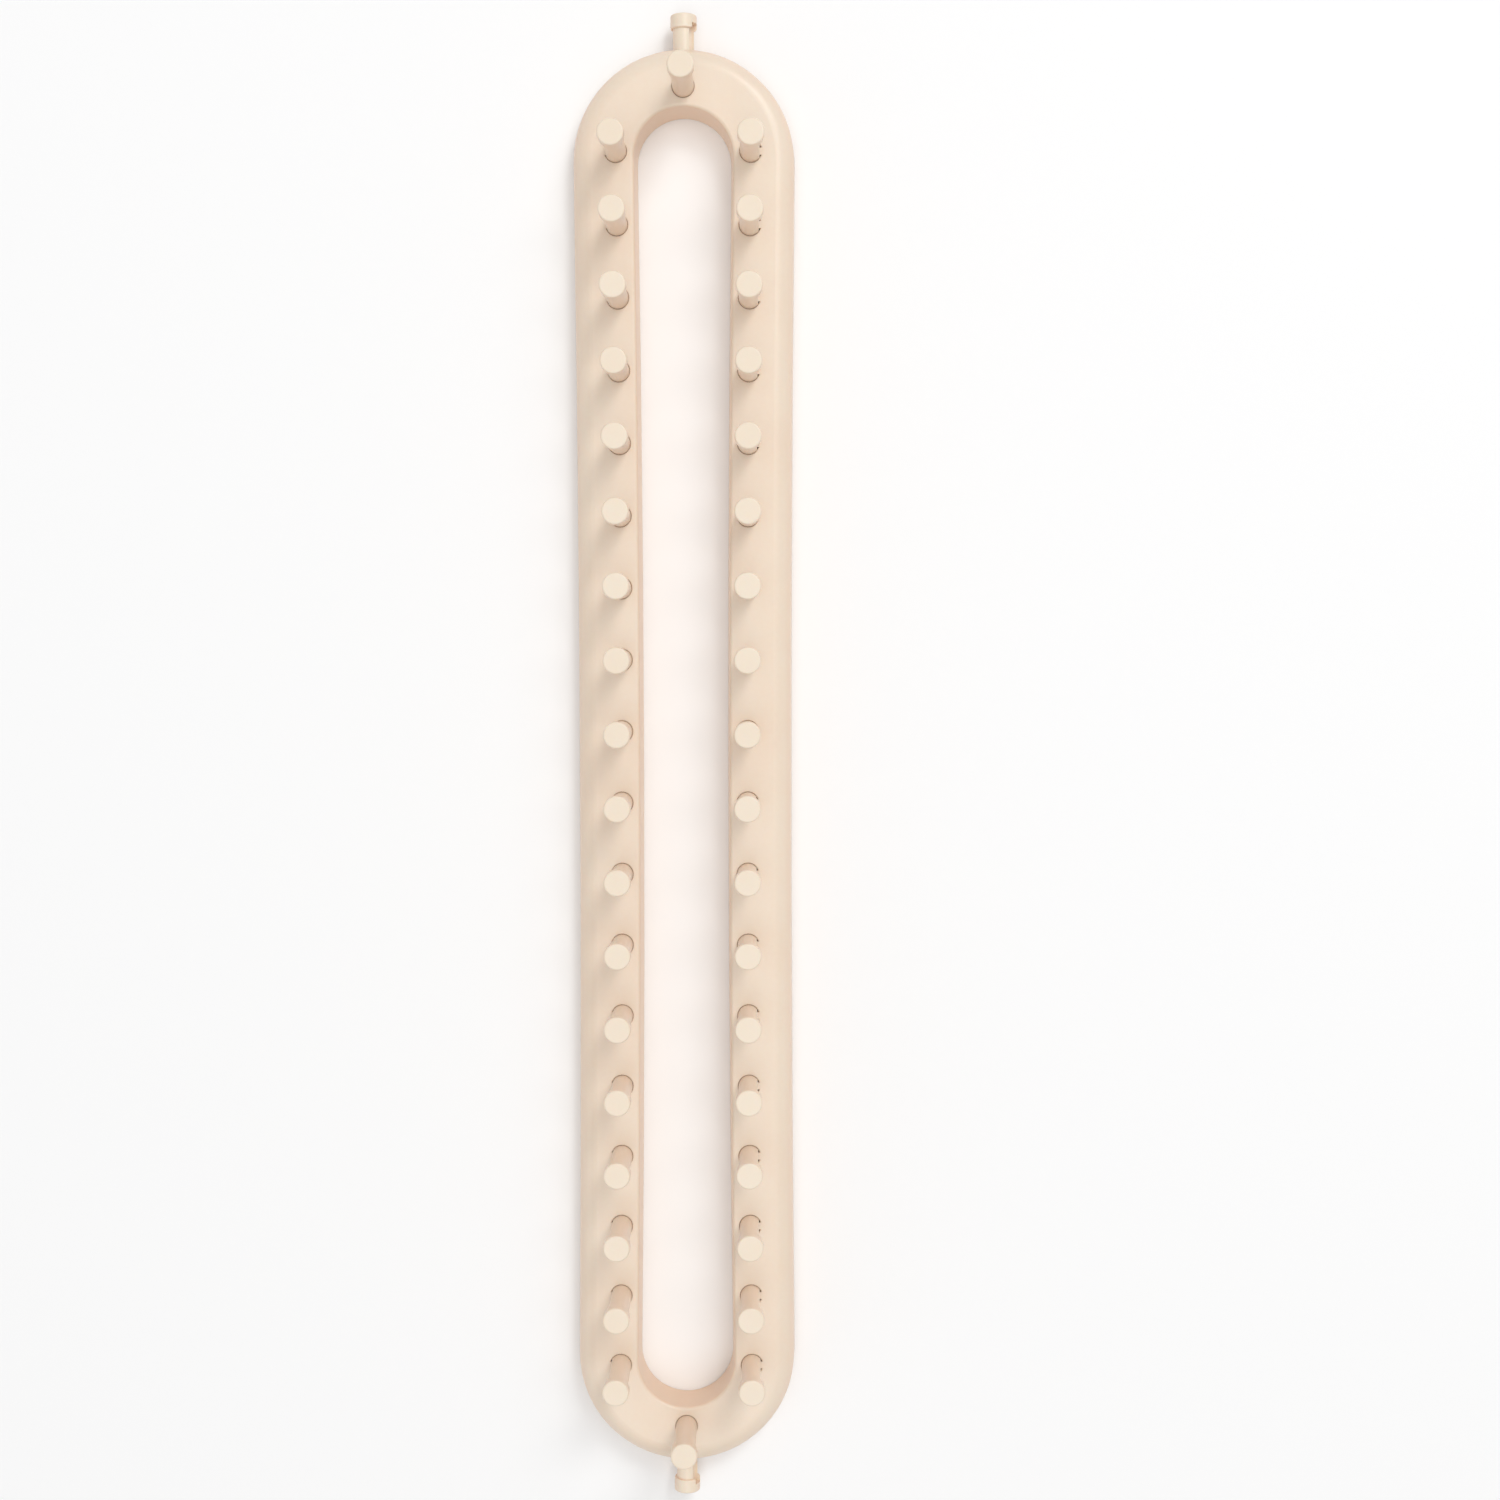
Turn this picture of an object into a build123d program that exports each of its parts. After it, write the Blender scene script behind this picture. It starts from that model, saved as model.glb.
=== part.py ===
"""A long knitting loom: a moulded plastic frame, open underneath, that holds a ring of pressed-in pegs.

Row frame, in millimetres: the origin is the centre of the frame's base, +Z points up along the pegs,
+Y runs along the loom to its far end, and +X points to its right side. Every piece is a node of its own.
"""

import os
from math import cos, hypot, radians, sin, sqrt, tan

from build123d import *

# ---- Driving dimensions ----

PEGS_PER_SIDE = 18
PEG_PITCH = 17.5  # between neighbours along a side, 11/16 inch
PEG_LINE = 16.3  # from the loom's middle to the pegs, where the sides meet the rounded ends
PEG_WAIST = 0.9  # how far each row draws in at mid-length
END_PEG_Y = 164.2  # from the loom's centre to each end peg

# The frame's outlines are given at its base, as (radius of the rounded ends, distance from the
# loom's centre to the centre of each rounded end, how far each long side draws in at mid-length).
FRAME_OUTLINE = (27.1, 147.1, 0.8)
OPENING_OUTLINE = (11.5, 147.5, 1.0)
FRAME_HEIGHT = 11.0
DRAFT = 2.5  # degrees: both walls spread towards the base
OUTER_ROUND = 4.5  # top edge of the outer wall
OPENING_ROUND = 0.8  # top edge of the opening
FOOT_ROUND = 0.4  # lower edge of both walls

WALL = 1.8
ROOF = 2.0
BOSS_RADIUS = 3.9  # round each peg's socket
RIB_THICKNESS = 1.3
RIB_RECESS = 1.2  # the bosses and ribs stop this far above the base

PEG_RADIUS = 2.6
PEG_HEIGHT = 19.8  # above the frame
PEG_TAIL = 9.4  # inside the frame
HEAD_RADIUS = 3.2
HEAD_LENGTH = 3.4
HEAD_TOP_ROUND = 0.45
HEAD_LOWER_ROUND = 0.3
TAIL_CHAMFER = 0.5

GROOVE_WIDTH = 3.1  # where it breaks the peg's surface
GROOVE_DEPTH = 1.7
GROOVE_FLOOR_ROUND = 0.8
GROOVE_INTO_HEAD = 1.3

KEY_WIDTH = 1.7  # of the rib in each socket that keeps the groove facing its way
KEY_GAP = 0.15  # between that rib and the groove's floor
SOCKET_CHAMFER = 0.25

ANCHOR_TIP_Y = 182.4  # from the loom's centre to the tip of each anchor peg
ANCHOR_TAIL = 5.0  # inside the frame
ANCHOR_HEIGHT = 5.5  # of the anchor peg's axis above the base
ANCHOR_GROOVE_TILT = 20  # degrees above the horizontal

TOUCH = 1e-3

# ---- Sizes that follow ----

RAIL = FRAME_OUTLINE[0] - OPENING_OUTLINE[0]
ANCHOR_ROOT_Y = FRAME_OUTLINE[0] + FRAME_OUTLINE[1] - ANCHOR_HEIGHT * tan(radians(DRAFT))
SOCKET_DEPTH = FRAME_HEIGHT - RIB_RECESS
CAVITY_HEIGHT = FRAME_HEIGHT - ROOF
GROOVE_FLOOR = PEG_RADIUS - GROOVE_DEPTH


# ---- Outlines ----


def side_arc(end_radius, centre_y, waist):
    """Radius of a long side's shallow arc, and the distance of its centre from the loom's middle.

    Each side bows inwards and runs smoothly into the rounded ends.
    """
    radius = (centre_y**2 + (end_radius - waist) ** 2 - end_radius**2) / (2 * waist)
    return radius, radius + end_radius - waist


def outline(end_radius, centre_y, waist):
    """A long outline with rounded ends, as a face on the base plane."""
    _, centre_x = side_arc(end_radius, centre_y, waist)
    share = end_radius / hypot(centre_x, centre_y)
    join_x = centre_x * share
    join_y = centre_y * (1 - share)
    end_y = centre_y + end_radius
    side_x = end_radius - waist
    arcs = [
        ThreePointArc((join_x, join_y), (0, end_y), (-join_x, join_y)),
        ThreePointArc((-join_x, join_y), (-side_x, 0), (-join_x, -join_y)),
        ThreePointArc((-join_x, -join_y), (0, -end_y), (join_x, -join_y)),
        ThreePointArc((join_x, -join_y), (side_x, 0), (join_x, join_y)),
    ]
    return make_face(Wire(arcs))


def resized(sizes, growth):
    """The sizes of an outline that runs outside the given one at an even distance."""
    end_radius, centre_y, waist = sizes
    return end_radius + growth, centre_y, waist


def ring(outer, inner, height):
    """A closed ring on the base plane that gets narrower towards its top, by the draft on each side."""
    return extrude(outline(*outer), height, taper=DRAFT) - extrude(outline(*inner), height, taper=-DRAFT)


def round_rim(solid, at_top, outside, radius):
    """The ring with one rim of its top or bottom face rounded, the outside or the opening's."""
    face = solid.faces().sort_by(Axis.Z)[-1 if at_top else 0]
    wire = face.outer_wire() if outside else face.inner_wires()[0]
    return fillet(wire.edges(), radius)


# ---- Where the pegs stand ----


def side_places(side):
    """Peg places along one side, near end first: side is 1 for the right and -1 for the left."""
    radius, centre_x = side_arc(PEG_LINE, FRAME_OUTLINE[1], PEG_WAIST)
    places = []
    for number in range(PEGS_PER_SIDE):
        y = PEG_PITCH * (number - (PEGS_PER_SIDE - 1) / 2)
        x = centre_x - sqrt(radius**2 - y**2)
        places.append(Plane((side * x, y, FRAME_HEIGHT), x_dir=(side, 0, 0)))
    return places


def end_place(end):
    """Place of the upright end peg: end is 1 for the far end and -1 for the near one."""
    return Plane((0, end * END_PEG_Y, FRAME_HEIGHT), x_dir=(0, end, 0))


def anchor_place(end):
    """Place of the anchor peg on the end wall, with its axis level."""
    tilt = radians(ANCHOR_GROOVE_TILT)
    origin = (0, end * ANCHOR_ROOT_Y, ANCHOR_HEIGHT)
    return Plane(origin, x_dir=(cos(tilt), 0, sin(tilt)), z_dir=(0, end, 0))


def standing_places():
    return side_places(1) + side_places(-1) + [end_place(1), end_place(-1)]


# ---- Pegs: local +Z leaves the frame, Z=0 is the frame's surface, the groove faces local +X ----


def post(radius, bottom, top):
    return Pos(0, 0, bottom) * Cylinder(radius, top - bottom, align=(Align.CENTER, Align.CENTER, Align.MIN))


def rim(shape, height):
    return [e for e in shape.edges().filter_by(GeomType.CIRCLE) if abs((e @ 0.5).Z - height) < TOUCH]


def peg_head(bottom, top):
    head = post(HEAD_RADIUS, bottom, top)
    head = fillet(rim(head, top), HEAD_TOP_ROUND)
    return fillet(rim(head, bottom), HEAD_LOWER_ROUND)


def peg_groove(bottom, top):
    width = GROOVE_WIDTH
    profile = Pos(GROOVE_FLOOR) * Rectangle(2 * HEAD_RADIUS, width, align=(Align.MIN, Align.CENTER))
    floor_corners = profile.vertices().group_by(Axis.X)[0]
    profile = fillet(floor_corners, GROOVE_FLOOR_ROUND)
    return Pos(0, 0, bottom) * extrude(profile, top - bottom)


def peg(reach, tail):
    """A peg that stands out by reach and sits in its socket by tail."""
    neck = reach - HEAD_LENGTH
    shaft = post(PEG_RADIUS, -tail, neck + HEAD_LENGTH / 2)
    shaft = chamfer(rim(shaft, -tail), TAIL_CHAMFER)
    return shaft + peg_head(neck, reach) - peg_groove(-tail, neck + GROOVE_INTO_HEAD)


def socket(depth):
    """What a peg's socket removes: a bore with a lead-in, less the rib that keys the groove."""
    mouth = Pos(0, 0, -SOCKET_CHAMFER) * Cone(
        PEG_RADIUS,
        PEG_RADIUS + 2 * SOCKET_CHAMFER,
        2 * SOCKET_CHAMFER,
        align=(Align.CENTER, Align.CENTER, Align.MIN),
    )
    bore = post(PEG_RADIUS, -depth, 0) + mouth
    key = Pos(GROOVE_FLOOR + KEY_GAP, 0, -depth) * Box(
        GROOVE_DEPTH + 1,
        KEY_WIDTH,
        depth,
        align=(Align.MIN, Align.CENTER, Align.MIN),
    )
    return bore - key


# ---- Frame ----


def boss_and_rib():
    """A socket's boss and the rib that ties it to the outer wall, below Z=0 as for a peg."""
    boss = post(BOSS_RADIUS, -SOCKET_DEPTH, 0)
    rib = Pos(0, 0, -SOCKET_DEPTH) * Box(
        RAIL,
        RIB_THICKNESS,
        SOCKET_DEPTH,
        align=(Align.MIN, Align.CENTER, Align.MIN),
    )
    return boss + rib


def frame():
    shell = ring(FRAME_OUTLINE, OPENING_OUTLINE, FRAME_HEIGHT)
    shell = round_rim(shell, at_top=True, outside=True, radius=OUTER_ROUND)
    shell = round_rim(shell, at_top=True, outside=False, radius=OPENING_ROUND)
    shell = round_rim(shell, at_top=False, outside=True, radius=FOOT_ROUND)
    shell = round_rim(shell, at_top=False, outside=False, radius=FOOT_ROUND)
    cavity = ring(resized(FRAME_OUTLINE, -WALL), resized(OPENING_OUTLINE, WALL), CAVITY_HEIGHT)
    cavity = round_rim(cavity, at_top=True, outside=True, radius=OUTER_ROUND - WALL)
    supports = [place.location * boss_and_rib() for place in standing_places()]
    supports += [anchor_place(end).location * post(BOSS_RADIUS, -ANCHOR_TAIL, 0) for end in (1, -1)]
    sockets = [place.location * socket(SOCKET_DEPTH) for place in standing_places()]
    sockets += [anchor_place(end).location * socket(ANCHOR_TAIL) for end in (1, -1)]
    return shell - (cavity - supports) - sockets


# ---- Nodes ----


def nodes():
    """Every piece in its place, by node name."""
    standing = peg(PEG_HEIGHT, PEG_TAIL)
    anchor = peg(ANCHOR_TIP_Y - ANCHOR_ROOT_Y, ANCHOR_TAIL)
    pieces = {"frame": frame()}
    for side, name in ((-1, "left"), (1, "right")):
        for number, place in enumerate(side_places(side), start=1):
            pieces[f"peg_{name}_{number:02d}"] = place.location * standing
    for end, name in ((1, "far"), (-1, "near")):
        pieces[f"end_peg_{name}"] = end_place(end).location * standing
        pieces[f"anchor_peg_{name}"] = anchor_place(end).location * anchor
    return pieces


os.makedirs("parts", exist_ok=True)
for node, shape in nodes().items():
    export_step(shape, f"parts/{node}.step")
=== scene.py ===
"""Looks for the long knitting loom: satin cream plastic on a plain white floor, seen from above."""

from math import radians

import bpy
from mathutils import Matrix, Vector

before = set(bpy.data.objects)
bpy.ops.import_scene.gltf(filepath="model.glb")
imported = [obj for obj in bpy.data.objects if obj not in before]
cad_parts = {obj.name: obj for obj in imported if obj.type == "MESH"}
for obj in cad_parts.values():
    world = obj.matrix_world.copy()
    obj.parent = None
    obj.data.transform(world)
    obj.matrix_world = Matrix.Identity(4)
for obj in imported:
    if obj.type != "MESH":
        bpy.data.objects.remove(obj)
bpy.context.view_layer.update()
MM = 0.001

# ---- Camera and light ----

CAMERA_AT = Vector((17.26, 30.76, 519.83)) * MM
# Degrees about X, then Y, then Z, that turn the loom's axes into the camera's.
CAMERA_TILT = (2.985, -0.147, 0.053)
LENS_MM = 50
SENSOR_MM = 36
CLIP_START = 10 * MM

# Each lamp: name, place in metres, diameter in metres, power in watts. All of them face the loom.
LAMPS = (
    ("key_high", (0.64, 0.64, 1.9), 0.6, 3.5),
    ("key", (0.66, 1.36, 1.9), 0.6, 8.1),
    ("key_wide", (1.1, 1.7, 1.9), 1.0, 6.4),
    ("key_low", (0.9, 1.0, 1.2), 0.6, 1.2),
    ("overhead", (0, 0, 2.8), 2.4, 15.5),
    ("overhead_front", (0, -1.2, 2.4), 1.6, 7.4),
    ("front_left", (-1.8, -1.2, 1.1), 1.6, 3.5),
)
FILL_STRENGTH = 0.46  # even light from all round
FILL_COLOUR = (1.0, 1.0, 1.0)
FLOOR_SIZE = 6.0  # metres
FLOOR_COLOUR = (0.975, 0.975, 0.975)
FLOOR_ROUGHNESS = 0.8


def make_camera():
    """A camera above the loom that looks almost straight down."""
    data = bpy.data.cameras.new("camera")
    data.lens = LENS_MM
    data.sensor_width = SENSOR_MM
    data.clip_start = CLIP_START
    camera = bpy.data.objects.new("camera", data)
    bpy.context.scene.collection.objects.link(camera)
    about_x, about_y, about_z = (radians(a) for a in CAMERA_TILT)
    turn = (
        Matrix.Rotation(about_z, 4, "Z")
        @ Matrix.Rotation(about_y, 4, "Y")
        @ Matrix.Rotation(about_x, 4, "X")
    )
    # The camera itself turns the other way: the transpose of a turn is its inverse.
    camera.matrix_world = Matrix.Translation(CAMERA_AT) @ turn.transposed()
    bpy.context.scene.camera = camera


def make_lights():
    for name, at, diameter, power in LAMPS:
        light = bpy.data.lights.new(name, "AREA")
        light.shape = "DISK"
        light.size = diameter
        light.energy = power
        lamp = bpy.data.objects.new(name, light)
        lamp.location = at
        lamp.rotation_mode = "QUATERNION"
        lamp.rotation_quaternion = (-Vector(at)).to_track_quat("-Z", "Y")
        bpy.context.scene.collection.objects.link(lamp)
    world = bpy.data.worlds.new("fill")
    world.use_nodes = True
    background = world.node_tree.nodes["Background"]
    background.inputs["Color"].default_value = (*FILL_COLOUR, 1)
    background.inputs["Strength"].default_value = FILL_STRENGTH
    bpy.context.scene.world = world
    bpy.context.scene.view_settings.view_transform = "Standard"


def make_floor():
    half = FLOOR_SIZE / 2
    mesh = bpy.data.meshes.new("floor")
    corners = [(-half, -half, 0), (half, -half, 0), (half, half, 0), (-half, half, 0)]
    mesh.from_pydata(corners, [], [(0, 1, 2, 3)])
    floor = bpy.data.objects.new("floor", mesh)
    bpy.context.scene.collection.objects.link(floor)
    material = bpy.data.materials.new("floor_white")
    material.use_nodes = True
    shader = material.node_tree.nodes["Principled BSDF"]
    shader.inputs["Base Color"].default_value = (*FLOOR_COLOUR, 1)
    shader.inputs["Roughness"].default_value = FLOOR_ROUGHNESS
    mesh.materials.append(material)


# ---- Plastic ----

# Linear colours of the plastic: its warmer and paler patches, painted shade on its steep faces
# (the shade and bounce light of walls and shafts), and its worn edges, lighter partly as a painted
# highlight.
FRAME_TONES = {
    "warm": (0.848, 0.698, 0.556),
    "pale": (0.866, 0.740, 0.604),
    "upright": (0.858, 0.665, 0.514),
    "rubbed_highlit": (0.915, 0.800, 0.675),
}
PEG_TONES = {
    "warm": (0.858, 0.730, 0.580),
    "pale": (0.874, 0.758, 0.614),
    "upright": (0.860, 0.680, 0.532),
    "rubbed_highlit": (0.920, 0.820, 0.690),
}
PAINTED_SHADE_TONE = (0.120, 0.066, 0.038)  # painted shade, near black, at the bottom of crevices

CLOUD = 28 * MM  # size of the colour's slow drift
FLECK = 1.1 * MM  # size of the faint mottling
GRAIN = 0.3 * MM  # size of the moulded texture
RIPPLE = 6 * MM  # size of the slight unevenness left by shrinking
DRAW_ACROSS = 0.35 * MM  # width of the marks along a peg, left by drawing it from its mould
DRAW_ALONG = 9 * MM  # their length
GRAIN_HEIGHT = 0.003 * MM
RIPPLE_HEIGHT = 0.03 * MM
DRAW_HEIGHT = 0.002 * MM
EDGE_REACH = 0.7 * MM  # how far in from an edge it looks worn and carries the painted edge highlight
CREVICE_REACH = 1.6 * MM  # how narrow a gap has to be to take the painted shade

# Each span is where a pattern starts to show, and where it shows in full.
CLOUD_SPAN = (0.35, 0.65)
FLECK_SPAN = (0.3, 0.7)
STEEP_SPAN = (0.95, 0.3)  # upward part of the normal; steeper faces take the painted shade
PATCH_SPAN = (0.3, 0.62)
EDGE_SPAN = (0.45, 0.95)
PIT_SPAN = (0.74, 0.94)

CLOUD_SHARE = 0.75  # of the change between the warm and the pale tone; the mottling makes the rest
LEAST_WEAR_AND_HIGHLIGHT = 0.35  # in the patches where edges are least worn and least lit by the painted highlight, against 1 where most
RUBBED_HIGHLIGHT_SHARE = 0.7  # how far a worn edge turns to its lighter tone, partly worn plastic and partly a painted highlight
PAINTED_SHADE_SHARE = 0.9  # how far a crevice turns to the painted shade's tone

ROUGHNESS = 0.34
FLECK_ROUGHNESS = 0.02  # either way, with the mottling
WEAR_SMOOTHING = 0.035
CREVICE_ROUGHNESS = 0.3  # rougher in crevices, on top of the plastic's
SCATTER_SHARE = 0.1
SCATTER_REACH = 1.2 * MM
SCATTER_BY_COLOUR = (1.0, 0.55, 0.3)  # reach of red, green and blue light in the plastic
REFRACTION = 1.52
NEAR_SAMPLES = 6  # rays that look for nearby surface


class Nodes:
    """Makes shader nodes in one material's tree.

    An input is given by its name, with _ for a space, or by its number after _.
    """

    def __init__(self, material):
        material.use_nodes = True
        self.tree = material.node_tree
        self.shader = self.tree.nodes["Principled BSDF"]
        self.place = self.add("ShaderNodeTexCoord").outputs["Object"]

    def add(self, kind, settings=None, **inputs):
        node = self.tree.nodes.new(kind)
        for key, value in (settings or {}).items():
            setattr(node, key, value)
        for key, value in inputs.items():
            socket = node.inputs[int(key[1:]) if key[1:].isdigit() else key.replace("_", " ")]
            self.put(value, socket)
        return node

    def put(self, value, socket):
        if isinstance(value, bpy.types.NodeSocket):
            self.tree.links.new(value, socket)
        else:
            socket.default_value = value

    def noise(self, size, detail, stretch=(1, 1, 1), shift=0.0):
        """Noise from 0 to 1 with patches of the given size, longer along an axis by its stretch.

        A shift keeps a pattern from lining up with the others.
        """
        scale = tuple(1 / (size * s) for s in stretch)
        place = self.add("ShaderNodeMapping", Vector=self.place, Scale=scale, Location=(shift,) * 3)
        texture = self.add("ShaderNodeTexNoise", Vector=place.outputs[0], Scale=1.0, Detail=detail)
        return texture.outputs["Fac"]

    def spread(self, value, span, result=(0.0, 1.0)):
        """Maps the span smoothly to the result, and holds its ends."""
        node = self.add(
            "ShaderNodeMapRange",
            {"interpolation_type": "SMOOTHSTEP"},
            Value=value,
            From_Min=span[0],
            From_Max=span[1],
            To_Min=result[0],
            To_Max=result[1],
        )
        return node.outputs[0]

    def math(self, operation, a, b):
        return self.add("ShaderNodeMath", {"operation": operation}, _0=a, _1=b).outputs[0]

    def blend(self, share, a, b):
        """Colour a where share is 0, and b where it is 1."""
        settings = {"data_type": "RGBA"}
        return self.add("ShaderNodeMix", settings, _0=share, _6=a, _7=b).outputs[2]

    def closeness(self, reach, inside):
        """1 where surface is near: behind this one, at its own edge, or before it, in a crevice."""
        settings = {"samples": NEAR_SAMPLES, "inside": inside, "only_local": inside}
        node = self.add("ShaderNodeAmbientOcclusion", settings, Distance=reach)
        return self.math("SUBTRACT", 1.0, node.outputs["AO"])

    def bump(self, height, value, before=None):
        """The normal with value raised by up to height, on top of an earlier bump."""
        node = self.add("ShaderNodeBump", Strength=1.0, Distance=height, Height=value)
        if before is not None:
            self.put(before, node.inputs["Normal"])
        return node.outputs["Normal"]


def plastic(name, tones, draw_stretch=None):
    """Moulded plastic, matt from its fine grain and smoother where it is worn. Its colour holds
    painted shade on steep faces and in crevices, and a painted highlight along worn edges.

    A peg's has marks along the peg, which draw_stretch lengthens along its axis.
    """
    material = bpy.data.materials.new(name)
    nodes = Nodes(material)
    opaque = {part: (*tone, 1) for part, tone in tones.items()}

    cloud = nodes.spread(nodes.noise(CLOUD, detail=3.0), CLOUD_SPAN)
    fleck = nodes.spread(nodes.noise(FLECK, detail=3.0, shift=7.3), FLECK_SPAN)
    drift = nodes.math(
        "ADD",
        nodes.math("MULTIPLY", cloud, CLOUD_SHARE),
        nodes.math("MULTIPLY", fleck, 1 - CLOUD_SHARE),
    )
    colour = nodes.blend(drift, opaque["warm"], opaque["pale"])
    # Steep faces turn to a darker, warmer painted shade, standing in for the shade and bounce light
    # on walls and shafts.
    normal = nodes.add("ShaderNodeNewGeometry").outputs["Normal"]
    upward = nodes.add("ShaderNodeSeparateXYZ", Vector=normal).outputs["Z"]
    colour = nodes.blend(nodes.spread(upward, STEEP_SPAN), colour, opaque["upright"])

    # Edges turn lighter: partly worn plastic, partly a painted highlight along them. The same mask
    # makes them smoother.
    patchy = nodes.spread(nodes.noise(RIPPLE, detail=4.0, shift=3.1), PATCH_SPAN, (LEAST_WEAR_AND_HIGHLIGHT, 1.0))
    edge = nodes.spread(nodes.closeness(EDGE_REACH, inside=True), EDGE_SPAN)
    wear_and_highlight = nodes.math("MULTIPLY", edge, patchy)
    colour = nodes.blend(nodes.math("MULTIPLY", wear_and_highlight, RUBBED_HIGHLIGHT_SHARE), colour, opaque["rubbed_highlit"])
    # Narrow crevices turn almost black: painted shade. They are made rougher too.
    pit = nodes.spread(nodes.closeness(CREVICE_REACH, inside=False), PIT_SPAN)
    colour = nodes.blend(nodes.math("MULTIPLY", pit, PAINTED_SHADE_SHARE), colour, (*PAINTED_SHADE_TONE, 1))
    nodes.put(colour, nodes.shader.inputs["Base Color"])

    rough_range = (ROUGHNESS - FLECK_ROUGHNESS, ROUGHNESS + FLECK_ROUGHNESS)
    rough = nodes.spread(fleck, (0.0, 1.0), rough_range)
    rough = nodes.math("SUBTRACT", rough, nodes.math("MULTIPLY", wear_and_highlight, WEAR_SMOOTHING))
    rough = nodes.math("ADD", rough, nodes.math("MULTIPLY", pit, CREVICE_ROUGHNESS))
    nodes.put(rough, nodes.shader.inputs["Roughness"])

    bumped = nodes.bump(RIPPLE_HEIGHT, nodes.noise(RIPPLE, detail=1.0, shift=11.9))
    if draw_stretch:
        marks = nodes.noise(DRAW_ACROSS, detail=1.0, stretch=draw_stretch)
        bumped = nodes.bump(DRAW_HEIGHT, marks, bumped)
    bumped = nodes.bump(GRAIN_HEIGHT, nodes.noise(GRAIN, detail=2.0), bumped)
    nodes.put(bumped, nodes.shader.inputs["Normal"])

    nodes.shader.inputs["Subsurface Weight"].default_value = SCATTER_SHARE
    nodes.shader.inputs["Subsurface Radius"].default_value = SCATTER_BY_COLOUR
    nodes.shader.inputs["Subsurface Scale"].default_value = SCATTER_REACH
    nodes.shader.inputs["IOR"].default_value = REFRACTION
    return material


def dress():
    """Gives each piece its plastic. The anchor pegs lie along Y, and all others stand along Z."""
    along = DRAW_ALONG / DRAW_ACROSS
    frame_plastic = plastic("frame_plastic", FRAME_TONES)
    standing = plastic("peg_plastic", PEG_TONES, (1, 1, along))
    lying = plastic("peg_plastic_level", PEG_TONES, (1, along, 1))
    for name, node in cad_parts.items():
        if name == "frame":
            material = frame_plastic
        else:
            material = lying if name.startswith("anchor") else standing
        node.data.materials.clear()
        node.data.materials.append(material)


make_camera()
make_lights()
make_floor()
dress()
